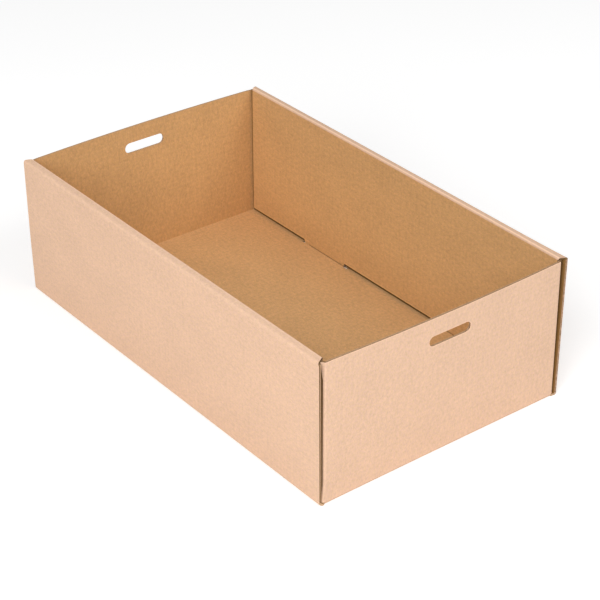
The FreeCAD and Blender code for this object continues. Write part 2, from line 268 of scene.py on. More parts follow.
class NodeSheet:
    """The node tree of one material or world, made a node at a time."""

    def __init__(self, owner: bpy.types.Material | bpy.types.World) -> None:
        """Empty the tree.

        Args:
            owner: what the tree belongs to.
        """
        owner.use_nodes = True
        self.owner = owner
        self.tree = owner.node_tree
        self.tree.nodes.clear()

    def add(self, kind: str, inputs: dict[object, object], **settings: object) -> bpy.types.Node:
        """Add a node, and join or set its inputs.

        Args:
            kind: the node's type, without ShaderNode in front.
            inputs: by input name or number, a socket to join or a value to set.
            settings: the node's properties by name.

        Returns:
            The new node.
        """
        node = self.tree.nodes.new("ShaderNode" + kind)
        for name, setting in settings.items():
            setattr(node, name, setting)
        for key, value in inputs.items():
            if isinstance(value, Socket):
                self.tree.links.new(value, node.inputs[key])
            else:
                node.inputs[key].default_value = value
        return node

    def sum(self, operation: str, first: object, second: object = 0.0) -> Socket:
        """Combine two numbers, and return the result's socket."""
        return self.add("Math", {0: first, 1: second}, operation=operation).outputs[0]

    def apart(self, first: object, second: object) -> Socket:
        """Measure how far apart two numbers are, and return the result's socket."""
        return self.sum("ABSOLUTE", self.sum("SUBTRACT", first, second))

    def weigh(self, parts: Sequence[tuple[Socket, object]]) -> Socket:
        """Add up parts, each times its own factor.

        Args:
            parts: each part's socket and its factor.

        Returns:
            The total's socket.
        """
        total: object = 0.0
        for part, factor in parts:
            total = self.sum("ADD", total, self.sum("MULTIPLY", part, factor))
        return total

    def split(self, where: Socket) -> Sequence[Socket]:
        """Give the sockets of a place's first two coordinates."""
        return self.add("SeparateXYZ", {0: where}).outputs[:2]

    def scaled(self, value: object, low: float, high: float, new_low: float, new_high: float) -> Socket:
        """Map one range of numbers to another, held at its ends, and return the result's socket."""
        inputs = {0: value, 1: low, 2: high, 3: new_low, 4: new_high}
        return self.add("MapRange", inputs, clamp=True).outputs[0]

    def tint(self, amount: object, first: object, second: object) -> Socket:
        """Blend two colours by an amount, and return the result's socket."""
        return self.add("Mix", {0: amount, 6: first, 7: second}, data_type="RGBA").outputs[2]

    def noise(self, where: Socket, stretch: Sequence[float], size: float, detail: float = 2.0) -> Socket:
        """Make noise whose blotches have a real size, and return its socket.

        Args:
            where: the coordinates, in metres.
            stretch: how many times longer a blotch is along each coordinate.
            size: the size of a blotch in metres.
            detail: octaves of finer noise.

        Returns:
            The noise from 0 to 1.
        """
        scale = tuple(1 / part for part in stretch)
        placed = self.add("Mapping", {"Vector": where, "Scale": scale})
        inputs = {"Vector": placed.outputs[0], "Scale": 1 / size, "Detail": detail}
        return self.add("TexNoise", inputs).outputs[0]

    def finish(self, shader: bpy.types.Node) -> bpy.types.Material | bpy.types.World:
        """Join the last shader to the output.

        Args:
            shader: the shader.

        Returns:
            The tree's owner, finished.
        """
        kind = "World" if isinstance(self.owner, bpy.types.World) else "Material"
        self.add("Output" + kind, {"Surface": shader.outputs[0]})
        return self.owner

    def paper(self, colour: Socket, relief: Socket, roughness: float, gloss: float) -> bpy.types.Material:
        """Finish the sheet as paper.

        Args:
            colour: its colour.
            relief: its relief in metres.
            roughness: its roughness.
            gloss: its specular level.

        Returns:
            The finished material.
        """
        bump = self.add("Bump", {"Height": relief, "Distance": 1.0, "Strength": 1.0})
        return self.finish(self.add("BsdfPrincipled", {
            "Base Color": colour,
            "Roughness": roughness,
            "Specular IOR Level": gloss,
            "Normal": bump.outputs[0],
        }))


Colour = tuple[float, float, float, float]


class Axis(Enum):
    """A direction on the flat sheet."""

    ALONG = 0
    OUT = 1


@dataclass(frozen=True)
class WearAndLightLine:
    """A line painted on the paper. Worn creases, painted highlights along cut edges and folds, and painted
    shade where parts meet are all made this way.
    """

    axis: Axis
    place: float
    width: float
    amount: float
    broken: float = 0.0
    stretch: tuple[float, ...] = ()


@dataclass(frozen=True)
class KraftLiner:
    """Unbleached liner paper: mottled fibres, dark specks, a faint print of the flutes, and lines of worn
    creases, painted highlights and painted shade.
    """

    name: str
    colour: Colour
    board: Board
    wear_and_light: tuple[WearAndLightLine, ...] = ()
    contrast: float = 0.11
    warmth: float = 0.02
    # Where the end folds lie on the flat sheet, for the painted highlight round the hand holes; 0 paints
    # none.
    holes: float = 0.0
    roughness: float = 0.82
    gloss: float = 0.25
    flute_tint: float = 0.012
    flute_print: float = 0.00002
    fibre_relief: float = 0.00003

    def shade(self, factor: float, yellow: float = 0.0) -> Colour:
        """Give the paper's colour in another tone.

        Args:
            factor: how much lighter it is.
            yellow: how much yellower it is, or pinker where negative.

        Returns:
            The colour.
        """
        red, green, blue, alpha = self.colour
        tone = (red * factor, green * factor * (1 + yellow / 2), blue * factor * (1 - 2 * yellow))
        return (*(min(1.0, part) for part in tone), alpha)

    def build(self) -> bpy.types.Material:
        """Make the liner's material.

        Returns:
            The material.
        """
        sheet = NodeSheet(bpy.data.materials.new(self.name))
        flat = sheet.add("UVMap", {}, uv_map="Blank").outputs[0]
        turns = sheet.sum("MULTIPLY", sheet.split(flat)[0], 2 * math.pi / self.board.pitch)
        wave = sheet.sum("SINE", turns)
        fibre = sheet.noise(flat, (2.2, 1.0, 1.0), 0.0013, 3.0)
        paper = self.mottle(sheet, flat, fibre, wave)
        # Worn creases, painted highlights and painted shade lines.
        for mark in self.wear_and_light:
            paper = self.paint_line(sheet, flat, mark, paper)
        if self.holes:
            paper = self.highlight_hole_rims(sheet, flat, paper)
        relief = sheet.weigh(((wave, self.flute_print), (fibre, self.fibre_relief)))
        return sheet.paper(paper, relief, self.roughness, self.gloss)

    def mottle(self, sheet: NodeSheet, flat: Socket, fibre: Socket, wave: Socket) -> Socket:
        """Mix the paper's tones: clouds, blotches, fibres, specks and the flutes' faint stripes.

        Args:
            sheet: the material being made.
            flat: the place on the flat sheet.
            fibre: the finest noise.
            wave: the flutes' wave from -1 to 1.

        Returns:
            The paper's colour.
        """
        cloud = sheet.noise(flat, (1.5, 1.0, 1.0), 0.05, 2.0)
        blotch = sheet.noise(flat, (1.6, 1.0, 1.0), 0.0042, 2.0)
        hue = sheet.noise(flat, (1.0, 1.3, 1.0), 0.003, 1.0)
        speck = sheet.noise(flat, (1.8, 1.0, 1.0), 0.0019, 0.0)
        tone = sheet.weigh(((cloud, 0.16), (blotch, 0.38), (fibre, 0.46), (wave, self.flute_tint)))
        light = sheet.scaled(tone, 0.35, 0.65, 0.0, 1.0)
        low, high = 1 - self.contrast, 1 + self.contrast
        pink = sheet.tint(light, self.shade(low, -self.warmth), self.shade(high, -self.warmth))
        yellow = sheet.tint(light, self.shade(low, self.warmth), self.shade(high, self.warmth))
        paper = sheet.tint(sheet.scaled(hue, 0.38, 0.62, 0.0, 1.0), pink, yellow)
        spots = sheet.scaled(speck, 0.68, 0.80, 0.0, 0.35)
        return sheet.tint(spots, paper, self.shade(0.78, self.warmth))

    def paint_line(self, sheet: NodeSheet, flat: Socket, mark: WearAndLightLine, paper: Socket) -> Socket:
        """Paint one line into the paper, lighter where its amount is positive: worn creases, painted
        highlights and painted shade alike.

        Args:
            sheet: the material being made.
            flat: the place on the flat sheet.
            mark: the line.
            paper: the colour so far.

        Returns:
            The rubbed colour.
        """
        mirrored = [sheet.sum("ABSOLUTE", part) for part in sheet.split(flat)]
        distance = sheet.apart(mirrored[mark.axis.value], mark.place)
        amount = sheet.scaled(distance, 0.0, mark.width, abs(mark.amount), 0.0)
        if mark.stretch:
            start, end = mark.stretch
            off = sheet.apart(mirrored[1 - mark.axis.value], (start + end) / 2)
            amount = sheet.sum("MULTIPLY", amount, sheet.sum("LESS_THAN", off, (end - start) / 2))
        if mark.broken:
            patch = sheet.noise(flat, (2.0, 1.0, 1.0), 0.0045, 2.0)
            gate = sheet.scaled(patch, 0.42, 0.62, 1 - mark.broken, 1.0)
            amount = sheet.sum("MULTIPLY", amount, gate)
        # Lighter for worn creases and painted highlights, darker for painted shade.
        tone = self.shade(1.35) if mark.amount > 0 else self.shade(0.5)
        return sheet.tint(amount, paper, tone)

    def highlight_hole_rims(self, sheet: NodeSheet, flat: Socket, paper: Socket) -> Socket:
        """Paint a highlight in a thin line round the hand holes, where their cut edge catches light.

        Args:
            sheet: the material being made.
            flat: the place on the flat sheet.
            paper: the colour so far.

        Returns:
            The lightened colour.
        """
        along, out = sheet.split(flat)
        for hole in HOLES:
            beside = sheet.sum("SUBTRACT", sheet.apart(out, hole.middle), (hole.length - hole.height) / 2)
            over = sheet.sum("MAXIMUM", beside, 0.0)
            up = sheet.sum("SUBTRACT", along, hole.end * (self.holes + hole.level))
            reach = sheet.sum("POWER", sheet.weigh(((over, over), (up, up))), 0.5)
            edge = hole.height / 2
            amount = sheet.scaled(reach, edge + 0.0003, edge + 0.0016, 0.55, 0.0)
            # Painted highlight round the hole's edge.
            paper = sheet.tint(amount, paper, self.shade(1.35))
        return paper


@dataclass(frozen=True)
class RawEdge:
    """The cut edge of the board: torn grey-brown fibres, and in dark colours the painted shade in the flute
    channels and on the rims' cut ends.
    """

    name: str
    colour: Colour
    dark: Colour
    grain: float = 0.0006
    relief: float = 0.0001
    roughness: float = 0.9
    gloss: float = 0.15

    def build(self) -> bpy.types.Material:
        """Make the edge's material.

        Returns:
            The material.
        """
        sheet = NodeSheet(bpy.data.materials.new(self.name))
        where = sheet.add("TexCoord", {}).outputs["Object"]
        grain = sheet.noise(where, (1.0, 1.0, 1.0), self.grain, 3.0)
        paper = sheet.tint(sheet.scaled(grain, 0.35, 0.65, 0.0, 1.0), self.dark, self.colour)
        relief = sheet.sum("MULTIPLY", grain, self.relief)
        return sheet.paper(paper, relief, self.roughness, self.gloss)


@dataclass
class FoldedTray:
    """The tray, from its flat sheet to the dressed piece.

    A name that ends in x, y or z is a place on the folded tray, and one that ends in along or out
    is a place on the flat sheet. Near, far, left and right are as the camera sees the tray.
    """

    half_length: float
    rim_y: float
    height: float
    board: Board
    finishes: Sequence[bpy.types.Material] = ()
    # The die-cut sheet, with each place as it lies once folded
    rim_spread: float = 0.002
    panel_face_y: float = 0.1866
    panel_foot_z: float = 0.0082
    # Where the floor's deeper painted shade under the inner panels begins.
    shade_y: float = 0.1890
    panel_end_x: float = 0.3188
    nick: float = 0.0022
    nick_run: float = 0.005
    end_top_z: float = 0.2026
    shoulder_z: float = 0.2022
    shoulder_run: float = 0.008
    corner_fold_y: float = 0.1928
    end_fold_y: float = 0.1894
    ear_y: float = 0.1900
    slit_x: float = 0.3210
    flap_foot_z: float = 0.0037
    flap_tip_x: float = 0.2166
    flap_taper: float = 0.004
    flap_root: float = 0.0034
    tab_low_x: float = 0.1015
    tab_high_x: float = 0.1955
    tab_taper: float = 0.003
    tab_foot_z: float = 0.0005
    slot_low_x: float = 0.0935
    slot_high_x: float = 0.1980
    slot_low_y: float = 0.1861
    slot_high_y: float = 0.1901
    # How the folded sheet has settled: bows, overhangs, slips and gaps
    end_bow: float = 0.0049
    far_wall_bow: float = 0.0009
    far_splay: float = 0.002
    overhang: float = 0.001
    overhang_start: float = 0.9
    left_overhang: float = 0.003
    far_panel_shift: float = 0.0022
    near_gap: float = 0.0025
    far_gap: float = 0.0012
    right_gap: float = 0.0014
    left_fill: float = 0.0022
    right_fill: float = 0.0034
    far_panel_stretch: float = 0.0018
    foot_sag: float = 0.0050
    sag_start: float = 0.85
    sag_end: float = 0.92
    far_spring: float = 0.0012
    far_inner_rise: float = 0.0012
    near_spring: float = -0.0004
    near_inner_rise: float = 0.0018
    swing_low: float = 0.0024
    swing_high: float = 0.0015
    gap_rise: float = 0.125
    hang_rise: float = 0.4
    # How its shapes are made
    grid: float = 0.025
    fold_segments: int = 6
    smooth_angle: float = 32
    cutter_reach: float = 0.01
    rim_margin: float = 0.0003
    corner_margin: float = 0.0002

    @property
    def wall_y(self) -> float:
        """Where a long wall folds up from the floor."""
        return self.rim_y - self.rim_spread

    @property
    def lean(self) -> float:
        """How far a long wall leans out, in radians."""
        return math.atan2(self.rim_spread, self.height)

    @property
    def rim_out(self) -> float:
        """The rim's outer fold on the flat sheet."""
        return self.wall_y + math.hypot(self.rim_spread, self.height)

    @property
    def panel_out(self) -> float:
        """The rim's inner fold on the flat sheet."""
        return self.rim_out + self.rim_y - self.panel_face_y

    @property
    def foot_out(self) -> float:
        """The inner panel's lower edge on the flat sheet."""
        return self.panel_out + self.height - self.panel_foot_z

    @property
    def tab_out(self) -> float:
        """The tabs' lower edge on the flat sheet."""
        return self.foot_out + self.panel_foot_z - self.tab_foot_z

    @property
    def end_along(self) -> float:
        """The end panel's top edge on the flat sheet."""
        return self.half_length + self.end_top_z

    @property
    def shoulder_out(self) -> float:
        """Where an end panel's top edge starts to fall towards its corner."""
        return self.end_fold_y - self.shoulder_run

    @property
    def flap_out(self) -> float:
        """The corner flap's free edge on the flat sheet."""
        return self.corner_fold_y + self.half_length - self.flap_tip_x

    def on_floor(self, c: Place) -> bool:
        """Say whether a place on the flat sheet is on the floor."""
        return c.x < self.half_length and c.y < self.wall_y

    def on_end(self, c: Place) -> bool:
        """Say whether a place on the flat sheet is on an end panel or its flaps."""
        return c.x > self.half_length

    def on_side(self, c: Place) -> bool:
        """Say whether a place on the flat sheet is beyond a long wall's bottom fold."""
        return c.x < self.half_length and c.y > self.wall_y

    def on_panel(self, c: Place) -> bool:
        """Say whether a place on the flat sheet is on an inner panel or its tabs."""
        return c.x < self.half_length and c.y > self.panel_out

    def by_slot(self, c: Place) -> bool:
        """Say whether a place on the floor is level with a slot."""
        return self.on_floor(c) and self.slot_low_x < c.x < self.slot_high_x

    def by_slit(self, c: Place) -> bool:
        """Say whether a place on the floor is level with a corner's slit."""
        return self.on_floor(c) and c.x > self.slit_x

    def build(self) -> bpy.types.Object:
        """Make the whole tray.

        Returns:
            The finished piece, riding on its body and standing for its node.
        """
        piece = self.lay_sheet()
        self.score(piece)
        self.cut_waste(piece)
        self.number_sheet(piece)
        self.fold(piece)
        self.thicken(piece)
        self.sort_liners(piece)
        self.punch_hand_holes(piece)
        self.open_edges(piece)
        piece = self.fit_flutes(piece)
        self.relax(piece)
        self.smooth(piece)
        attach(piece, BODY)
        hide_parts(NODE)
        return piece

    def lay_sheet(self) -> bpy.types.Object:
        """Lay the uncut sheet flat, with its outer liner underneath.

        Returns:
            The sheet.
        """
        bpy.ops.object.select_all(action="DESELECT")
        bpy.ops.mesh.primitive_plane_add(size=2.0)
        piece = bpy.context.object
        piece.name = "tray"
        with on_the_bench(piece):
            bpy.ops.mesh.select_all(action="SELECT")
            bpy.ops.transform.resize(value=(self.end_along, self.tab_out, 1.0))
            bpy.ops.mesh.flip_normals()
        return piece

    def score_line(self, piece: bpy.types.Object, region: Test, place: Vector, normal: Vector) -> None:
        """Cut a line across the faces of a region, in all four quarters.

        Args:
            piece: the sheet, in edit mode.
            region: which faces are cut, by their middle, in the first quarter.
            place: a point of the line, in the first quarter.
            normal: the line's normal, in the first quarter.
        """
        for side, end in QUARTERS:
            def in_region(c: Place) -> bool:
                """Say whether a face is cut."""
                return c.x * side >= 0 and c.y * end >= 0 and region(first_quarter(c))

            pick_faces(piece, in_region)
            turned = Vector((normal.x * side, normal.y * end, 0)).normalized()
            point = Vector((place.x * side, place.y * end, 0))
            bpy.ops.mesh.bisect(plane_co=point, plane_no=turned)

    def score_rows(self, piece: bpy.types.Object, region: Test, axis: Axis, places: Sequence[float]) -> None:
        """Cut straight lines across the faces of a region, in all four quarters.

        Args:
            piece: the sheet, in edit mode.
            region: which faces are cut, by their middle, in the first quarter.
            axis: the direction that the lines' places are counted in.
            places: where the lines are, in the first quarter.
        """
        normal = Vector((0, 0, 0))
        normal[axis.value] = 1
        for place in places:
            self.score_line(piece, region, place * normal, normal)

    def score(self, piece: bpy.types.Object) -> None:
        """Score the folds and the outline into the sheet, and then a grid for its later bending.

        Args:
            piece: the sheet.
        """
        half = self.half_length
        folds = (self.rim_out - self.nick_run, self.rim_out, self.panel_out, self.foot_out)
        flap = (self.corner_fold_y, self.corner_fold_y + self.flap_root, self.flap_out)
        rows = (
            (lambda c: c.x < half, Axis.OUT, (self.wall_y,)),
            (self.on_side, Axis.OUT, folds),
            (self.on_panel, Axis.ALONG, (self.tab_low_x, self.tab_high_x, self.panel_end_x)),
            # This line bounds the floor's deeper painted shade under the inner panels.
            (self.on_floor, Axis.OUT, (self.shade_y,)),
            (self.on_floor, Axis.ALONG, (self.slot_low_x, self.slot_high_x, self.slit_x)),
            (self.by_slot, Axis.OUT, (self.slot_low_y, self.slot_high_y)),
            (self.by_slit, Axis.OUT, (self.end_fold_y, self.ear_y)),
            (self.on_end, Axis.OUT, (self.end_fold_y, *flap, self.shoulder_out)),
            (self.on_end, Axis.ALONG, (half + self.shoulder_z,)),
        )
        with on_the_bench(piece):
            for axis, place in ((Axis.ALONG, 0), (Axis.OUT, 0), (Axis.ALONG, half)):
                self.score_rows(piece, lambda c: True, axis, (place,))
            self.part_ends(piece)
            for region, axis, places in rows:
                self.score_rows(piece, region, axis, places)
            self.score_slants(piece)
            self.score_grid(piece)

    def part_ends(self, piece: bpy.types.Object) -> None:
        """Part the end panels and their flaps from the long sides, all but the end folds.

        Args:
            piece: the sheet, in edit mode.
        """
        half = self.half_length
        foot = half + self.flap_foot_z
        self.score_rows(piece, self.on_end, Axis.ALONG, (foot,))
        self.score_rows(piece, lambda c: half < c.x < foot, Axis.OUT, (self.end_fold_y,))
        pick_faces(piece, lambda c: half < abs(c.x) < foot and abs(c.y) > self.end_fold_y)
        bpy.ops.mesh.delete(type="FACE")

    def score_slants(self, piece: bpy.types.Object) -> None:
        """Score the slanted edges: rim ends, shoulders, flap edges and tab sides.

        Args:
            piece: the sheet, in edit mode.
        """
        half = self.half_length
        root = self.corner_fold_y + self.flap_root
        rim_end = half - self.nick
        shoulder = half + self.shoulder_z
        foot = half + self.flap_foot_z
        slants = (
            (half, self.rim_out - self.nick_run, rim_end, self.rim_out),
            (rim_end, self.rim_out, self.panel_end_x, self.panel_out),
            (half + self.end_top_z, self.shoulder_out, shoulder, self.end_fold_y),
            (shoulder, root, shoulder - self.flap_taper, self.flap_out),
            (foot, root, foot + self.flap_taper, self.flap_out),
            (self.tab_low_x, self.foot_out, self.tab_low_x + self.tab_taper, self.tab_out),
            (self.tab_high_x, self.foot_out, self.tab_high_x - self.tab_taper, self.tab_out),
        )
        for along, out, far_along, far_out in slants:
            run = Vector((far_along - along, far_out - out, 0))
            beyond_fold = min(along, far_along) > half

            def in_row(c: Place) -> bool:
                """Say whether the slant may cross the face."""
                return (c.x > half) == beyond_fold and out < c.y < far_out

            self.score_line(piece, in_row, Vector((along, out, 0)), Vector((-run.y, run.x, 0)))

    def score_grid(self, piece: bpy.types.Object) -> None:
        """Score a grid over the panels, fine enough for them to bend.

        Args:
            piece: the sheet, in edit mode.
        """
        half = self.half_length
        columns = [step * self.grid for step in range(1, round(half / self.grid))]
        self.score_rows(piece, lambda c: c.x < half, Axis.ALONG, columns)
        rows = [step * self.grid for step in range(1, round(self.wall_y / self.grid))]
        self.score_rows(piece, lambda c: c.y < self.wall_y, Axis.OUT, rows)
        levels = round(self.height / self.grid)
        for level in range(1, levels):
            share = level / levels
            up = half + self.flap_foot_z + share * (self.shoulder_z - self.flap_foot_z)
            self.score_rows(piece, self.on_end, Axis.ALONG, (up,))
            for start, end in ((self.wall_y, self.rim_out), (self.panel_out, self.foot_out)):
                self.score_rows(piece, self.on_side, Axis.OUT, (start + share * (end - start),))

    def is_waste(self, c: Place) -> bool:
        """Say whether a place of the flat sheet is cut away.

        Args:
            c: the place, in the first quarter.

        Returns:
            True for the slots, the slits and everything outside the outline.
        """
        half = self.half_length
        if c.x > half:
            return self.is_end_waste(c.x - half, c.y)
        if c.y < self.wall_y:
            in_slot = self.by_slot(c) and self.slot_low_y < c.y < self.slot_high_y
            in_slit = self.by_slit(c) and self.end_fold_y < c.y < self.ear_y
            return in_slot or in_slit
        if c.y < self.panel_out:
            nick = self.nick * ramp(c.y, self.rim_out - self.nick_run, self.rim_out)
            slant = (half - self.nick - self.panel_end_x) * ramp(c.y, self.rim_out, self.panel_out)
            return c.x > half - nick - slant
        if c.y < self.foot_out:
            return c.x > self.panel_end_x
        inset = self.tab_taper * ramp(c.y, self.foot_out, self.tab_out)
        return not self.tab_low_x + inset < c.x < self.tab_high_x - inset

    def is_end_waste(self, up: float, out: float) -> bool:
        """Say whether a place beside an end panel is cut away.

        Args:
            up: the place's height once folded.
            out: its distance from the middle of the panel.

        Returns:
            True outside the end panel and its flap.
        """
        if out < self.end_fold_y:
            fall = (self.end_top_z - self.shoulder_z) * ramp(out, self.shoulder_out, self.end_fold_y)
            return out > self.shoulder_out and up > self.end_top_z - fall
        inset = self.flap_taper * ramp(out, self.corner_fold_y + self.flap_root, self.flap_out)
        return out > self.flap_out or not self.flap_foot_z + inset < up < self.shoulder_z - inset

    def cut_waste(self, piece: bpy.types.Object) -> None:
        """Cut the waste away from the scored sheet.

        Args:
            piece: the sheet.
        """
        with on_the_bench(piece):
            pick_faces(piece, lambda c: self.is_waste(first_quarter(c)))
            bpy.ops.mesh.delete(type="FACE")
            bpy.ops.mesh.select_all(action="SELECT")
            bpy.ops.mesh.remove_doubles(threshold=NEAR)

    def number_sheet(self, piece: bpy.types.Object) -> None:
        """Write each point's place on the flat sheet to the UV map Blank, in metres.

        Args:
            piece: the cut sheet, still flat.
        """
        mesh = piece.data
        while mesh.uv_layers:
            mesh.uv_layers.remove(mesh.uv_layers[0])
        blank = mesh.uv_layers.new(name="Blank")
        for loop in mesh.loops:
            blank.data[loop.index].uv = mesh.vertices[loop.vertex_index].co.xy

    def is_fold(self, c: Place) -> bool:
        """Say whether a place of the flat sheet is on a fold.

        Args:
            c: the place, in the first quarter.

        Returns:
            True on the bottom folds, the rims' two folds and the corner flaps' folds.
        """
        half = self.half_length
        folds = (self.wall_y, self.rim_out, self.panel_out)
        on_side = c.x < half + NEAR and any(abs(c.y - out) < NEAR for out in folds)
        on_end = abs(c.x - half) < NEAR and c.y < self.end_fold_y + NEAR
        on_corner = c.x > half + NEAR and abs(c.y - self.corner_fold_y) < NEAR
        return on_side or on_end or on_corner

    def fold(self, piece: bpy.types.Object) -> None:
        """Fold the sheet up, innermost fold last, and round its folds.

        Args:
            piece: the numbered sheet.
        """
        half = self.half_length
        square = math.pi / 2
        folds = (
            (self.panel_out, square),
            (self.rim_out, square + self.lean),
            (self.wall_y, square - self.lean),
        )
        with on_the_bench(piece):
            self.mark_folds(piece)
            for side in (1, -1):
                for out, angle in folds:
                    pick_points(piece, lambda c: abs(c.x) < half + NEAR and c.y * side > out - NEAR)
                    turn(angle * side, "X", Vector((0, out * side, 0)))
                corner = self.corner_fold_y
                pick_points(piece, lambda c: abs(c.x) > half + NEAR and c.y * side > corner - NEAR)
                turn(square * side, "X", Vector((0, corner * side, 0)))
            for end in (1, -1):
                pick_points(piece, lambda c: c.x * end > half + NEAR)
                turn(-square * end, "Y", Vector((half * end, 0, 0)))
            pick(piece, Pick.EDGES, lambda edge: edge.seam)
            bpy.ops.mesh.bevel(offset=self.board.fold_radius, segments=self.fold_segments, affect="EDGES")

    def mark_folds(self, piece: bpy.types.Object) -> None:
        """Mark the flat sheet's fold lines as seams.

        Args:
            piece: the sheet, in edit mode.
        """
        mesh = bmesh.from_edit_mesh(piece.data)
        for edge in mesh.edges:
            ends = [first_quarter(point.co) for point in edge.verts]
            level = abs(ends[0].y - ends[1].y) < NEAR or abs(ends[0].x - ends[1].x) < NEAR
            middle = (ends[0] + ends[1]) / 2
            edge.seam = level and all(self.is_fold(c) for c in (*ends, middle))
        bmesh.update_edit_mesh(piece.data)

    def thicken(self, piece: bpy.types.Object) -> None:
        """Give the sheet its thickness, inwards from the outer liner.

        Args:
            piece: the folded sheet.
        """
        for finish in self.finishes:
            piece.data.materials.append(finish)
        # The inner faces take the darker inner liner, painted shade for the inside of the tray.
        apply_modifier(
            piece, "SOLIDIFY", thickness=self.board.thickness, offset=-1.0, use_even_offset=True,
            material_offset=Finish.INNER_LINER.value, material_offset_rim=Finish.RAW_EDGE.value)

    def sort_liners(self, piece: bpy.types.Object) -> None:
        """Tell the inner panels' faces, and what is shut between the plies, from the other liners, and paint
        both darker as shade.

        Args:
            piece: the thick tray.
        """
        for face in piece.data.polygons:
            c = first_quarter(face.center)
            if face.material_index == Finish.RAW_EDGE.value:
                if min(face.center.x, face.center.y - self.corner_fold_y) > 0 and c.z < self.height:
                    face.material_index = Finish.CRUSHED_EDGE.value
                continue
            inner = face.material_index == Finish.INNER_LINER.value
            on_end = c.x > self.half_length - self.board.thickness - NEAR and c.y < self.end_fold_y
            # Painted shade: the inner panels' faces and the end panels' inner faces take the darker panel
            # liner.
            if inner and on_end or (not inner and abs(c.y - self.panel_face_y) < NEAR):
                face.material_index = Finish.PANEL_LINER.value
            # Deeper painted shade on the floor under the inner panels, the walls' inner faces, the inner
            # panels' backs and the flaps between the plies.
            elif inner and c.y > self.shade_y:
                face.material_index = Finish.HIDDEN_LINER.value
            elif not inner and self.in_flap(c) and c.x < self.panel_end_x:
                face.material_index = Finish.HIDDEN_LINER.value

    def hole_cutter(self, hole: HandHole, reach: Sequence[float], margin: float = 0.0) -> bpy.types.Object:
        """Make a bar with a hand hole's section.

        Args:
            hole: the hand hole.
            reach: where the bar starts and ends along X.
            margin: how much larger than the hole the bar is, all round.

        Returns:
            The bar.
        """
        bpy.ops.object.select_all(action="DESELECT")
        bpy.ops.mesh.primitive_cube_add(size=1.0)
        bar = bpy.context.object
        bar.name = "hole_cutter"
        with on_the_bench(bar):
            bpy.ops.mesh.select_all(action="SELECT")
            size = (reach[1] - reach[0], hole.length + 2 * margin, hole.height + 2 * margin)
            bpy.ops.transform.resize(value=size)
            bpy.ops.transform.translate(value=((reach[0] + reach[1]) / 2, hole.middle, hole.level))
            pick(bar, Pick.EDGES, lambda edge: abs(edge.verts[0].co.x - edge.verts[1].co.x) > NEAR)
            radius = hole.roundness * size[2] / 2
            bpy.ops.mesh.bevel(offset=radius, segments=hole.segments, affect="EDGES")
        return bar

    def punch_hand_holes(self, piece: bpy.types.Object) -> None:
        """Punch the hand holes through both end panels, and mark their walls as raw edge.

        Args:
            piece: the thick tray.
        """
        for hole in HOLES:
            reach = sorted(hole.end * (self.half_length + beyond) for beyond in (-self.grid, self.grid))
            cutter = self.hole_cutter(hole, reach)
            apply_modifier(piece, "BOOLEAN", operation="DIFFERENCE", solver="EXACT", object=cutter)
            discard(cutter)
        for face in piece.data.polygons:
            in_hole = any(hole.holds(face.center, 4 * NEAR) for hole in HOLES)
            if in_hole and abs(face.normal.x) < 0.1:
                face.material_index = Finish.RAW_EDGE.value

    def open_edges(self, piece: bpy.types.Object) -> None:
        """Open the raw edges between their two liners, and paint shade into their channels and onto the
        rims' cut ends.

        Args:
            piece: the thick tray.
        """
        raw, crushed = Finish.RAW_EDGE.value, Finish.CRUSHED_EDGE.value

        def stands_open(face: Element) -> bool:
            """Say whether a face is a cut edge, away from the ends of the folds."""
            by_fold = self.by_fold(first_quarter(face.calc_center_median()))
            return face.material_index in (raw, crushed) and not by_fold

        def is_rim_end(face: Element) -> bool:
            """Say whether a face is the cut end of a rim's fold."""
            cut = face.material_index in (raw, crushed)
            return cut and not face.select and self.in_rim(face.calc_center_median())

        with on_the_bench(piece):
            pick(piece, Pick.FACES, stands_open)
            # Painted shade: the rims' cut ends take the dark flute colour.
            set_finish(piece, Finish.FLUTES, is_rim_end)
            bpy.ops.mesh.inset(thickness=self.board.liner, use_even_offset=False)
            bpy.ops.mesh.inset(
                thickness=self.board.liner / 8, depth=-self.board.edge_depth, use_even_offset=False)
            # Painted shade: the floors of the open edges' channels take the dark flute colour.
            set_finish(piece, Finish.FLUTES, lambda face: face.select and face.material_index == raw)

    def by_fold(self, c: Place) -> bool:
        """Say whether a raw edge runs round the end of a fold, where it is crushed shut.

        Args:
            c: the place, in the first quarter.

        Returns:
            True at the rim's ends, the corner folds' ends and the ends of the bottom folds.
        """
        radius = self.board.fold_radius + NEAR
        behind_end = c.x < self.half_length - self.board.thickness - NEAR
        at_rim = c.z > self.height - radius and (c.y > self.corner_fold_y or behind_end)
        at_corner = c.x > self.half_length - radius and self.end_fold_y < c.y < self.corner_fold_y
        at_foot = c.z < radius and c.x > self.slit_x - NEAR
        return at_rim or at_corner or at_foot

    def flute_strip(
        self, name: str, start: Vector, run: Vector, depth: Vector, across: Vector
    ) -> bpy.types.Object:
        """Make a strip of the wavy middle ply, in the raw edge's finish.

        Args:
            name: the strip's name.
            start: its first corner, on the middle of the board.
            run: from there along the cut, across the flutes.
            depth: from there into the board, along the flutes.
            across: a unit vector through the board's thickness.

        Returns:
            The strip.
        """
        waves = run.length / self.board.pitch
        steps = max(4, round(waves * self.board.wave_steps))
        bpy.ops.object.select_all(action="DESELECT")
        bpy.ops.mesh.primitive_grid_add(x_subdivisions=steps, y_subdivisions=1, size=2.0)
        strip = bpy.context.object
        strip.name = name
        for point in strip.data.vertices:
            share, in_board = (point.co.x + 1) / 2, (point.co.y + 1) / 2
            turns = 2 * math.pi * share * waves
            point.co = start + share * run + in_board * depth + self.board.swing * math.sin(turns) * across
        apply_modifier(strip, "SOLIDIFY", thickness=self.board.medium, offset=0.0)
        for finish in self.finishes:
            strip.data.materials.append(finish)
        for face in strip.data.polygons:
            face.material_index = Finish.RAW_EDGE.value
        return strip

